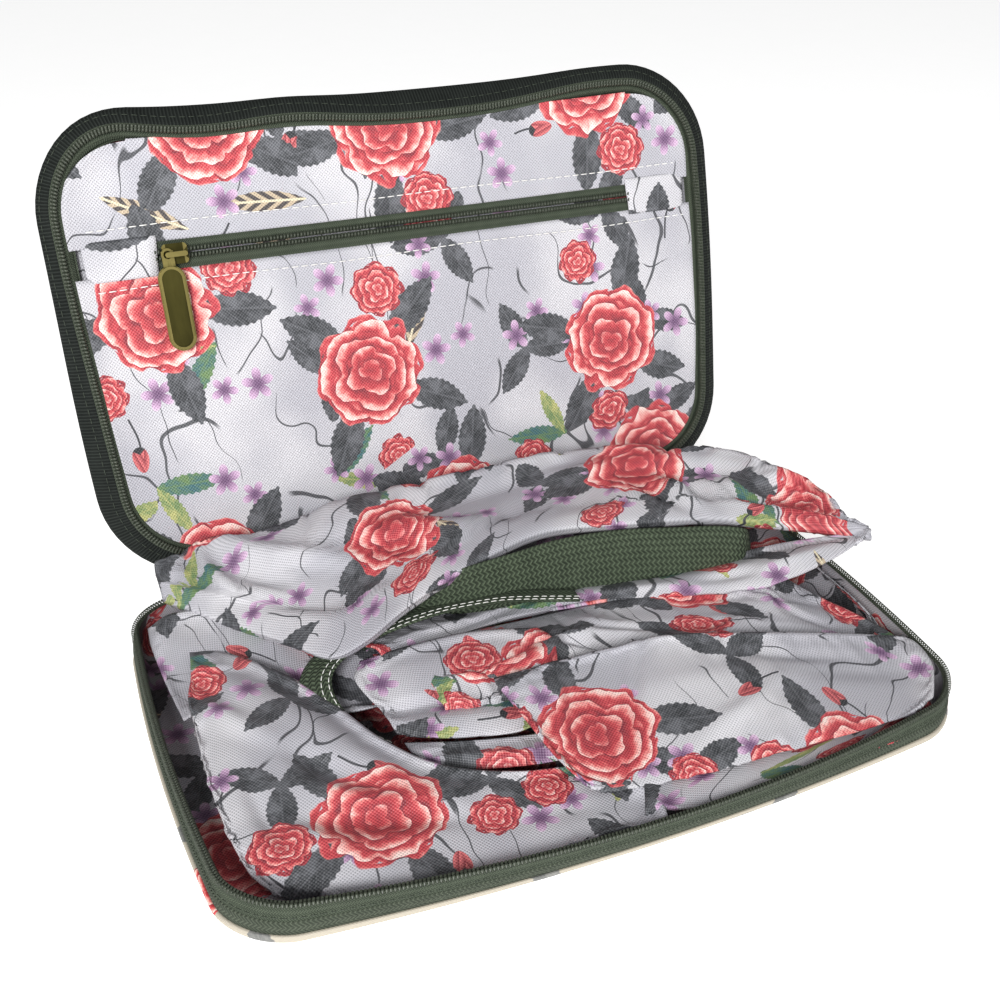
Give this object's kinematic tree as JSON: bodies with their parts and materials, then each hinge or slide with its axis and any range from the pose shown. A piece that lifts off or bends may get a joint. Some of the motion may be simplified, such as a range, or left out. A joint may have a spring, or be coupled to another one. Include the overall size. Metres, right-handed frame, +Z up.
{
  "type": "toiletry bag",
  "caption": "Soft zip-round case open on its base, lid leaning back with a zipped pocket, and a fold-out cloth bag with webbing handles folded inside.",
  "frame": {"origin": "bottom centre of the base's underside", "axes": "+X along the spine to the right of someone facing the open case, +Y back towards the spine, +Z up"},
  "size_m": [0.296, 0.2561, 0.1923],
  "materials": {
    "floral_lining": "coated woven cloth with a floral print, slight sheen",
    "floral_bag": "coated woven cloth with a floral print, slight sheen",
    "pale_cover": "coated woven cloth, cream with a sparse leaf print",
    "ribbed_band": "ribbed woven band, matt",
    "woven_band": "plain woven band, matt",
    "zip_tape": "woven zip tape, matt",
    "zip_coil": "nylon coil",
    "webbing": "chunky twill webbing",
    "spine_cloth": "coated woven cloth with a floral print",
    "board": "plastic board",
    "foam": "soft foam sheet",
    "antique_brass": "antique finish, bright on the edges"
  },
  "bodies": {
    "base": {"base_cover": "pale_cover", "base_stiffener": "board", "base_gusset": "woven_band", "base_zip_tape": "zip_tape", "base_zip_coil": "zip_coil", "base_lining": "floral_lining", "spine_lower": "spine_cloth", "bag_lower_body": "floral_bag", "bag_front_panel": "floral_bag", "bag_mid_fold": "floral_bag", "bag_side_fold": "floral_bag", "bag_right_panel": "floral_bag", "bag_lower_lip": "floral_bag", "second_handle": "webbing", "main_slider": "antique_brass"},
    "main_pull": {"main_pull_tab": "antique_brass"},
    "bag_mouth": {"bag_upper_flap": "floral_bag"},
    "handle": {"front_handle": "webbing"},
    "lid": {"lid_cover": "pale_cover", "lid_stiffener": "board", "lid_padding": "foam", "lid_gusset": "ribbed_band", "lid_zip_tape": "zip_tape", "lid_zip_coil": "zip_coil", "lid_binding": "zip_tape", "spine_upper": "spine_cloth", "pocket_backing": "floral_lining", "pocket_upper_panel": "floral_lining", "pocket_lower_panel": "floral_lining", "pocket_tape_upper": "zip_tape", "pocket_tape_lower": "zip_tape", "pocket_coil_upper": "zip_coil", "pocket_coil_lower": "zip_coil", "pocket_end_left": "floral_lining", "pocket_end_right": "floral_lining"},
    "pocket_zip_slider": {"pocket_slider": "antique_brass"},
    "pocket_pull": {"pocket_pull_tab": "antique_brass"}
  },
  "joints": [
    {"name": "lid_hinge", "type": "hinge", "parent": "base", "child": "lid", "pos_m": [0, 0.091, 0.0187], "axis": [1, 0, 0], "range_deg": [-75.3, 104.65], "deforming": ["bag_front_panel", "bag_mid_fold", "bag_side_fold", "bag_right_panel", "bag_lower_lip", "second_handle", "bag_upper_flap", "front_handle"]},
    {"name": "pocket_slider_slide", "type": "slide", "parent": "lid", "child": "pocket_zip_slider", "axis": [1, 0, 0], "range_m": [0, 0.187]},
    {"name": "pocket_pull_swing", "type": "hinge", "parent": "pocket_zip_slider", "child": "pocket_pull", "pos_m": [-0.0967, 0.12433, 0.14384], "axis": [0, 0.9675, -0.2529], "range_deg": [-45, 50]},
    {"name": "main_pull_swing", "type": "hinge", "parent": "base", "child": "main_pull", "pos_m": [0.1438, 0.0432, 0.0129], "axis": [1, 0, 0], "range_deg": [0, 110]},
    {"name": "bag_mouth_lift", "type": "hinge", "parent": "base", "child": "bag_mouth", "pos_m": [0, 0.0885, 0.0292], "axis": [-1, 0, 0], "range_deg": [0, 30]},
    {"name": "handle_swing", "type": "hinge", "parent": "bag_mouth", "child": "handle", "pos_m": [-0.04047, 0.02148, 0.04858], "axis": [-0.9975, 0.0706, 0], "range_deg": [0, 50]}
  ]
}
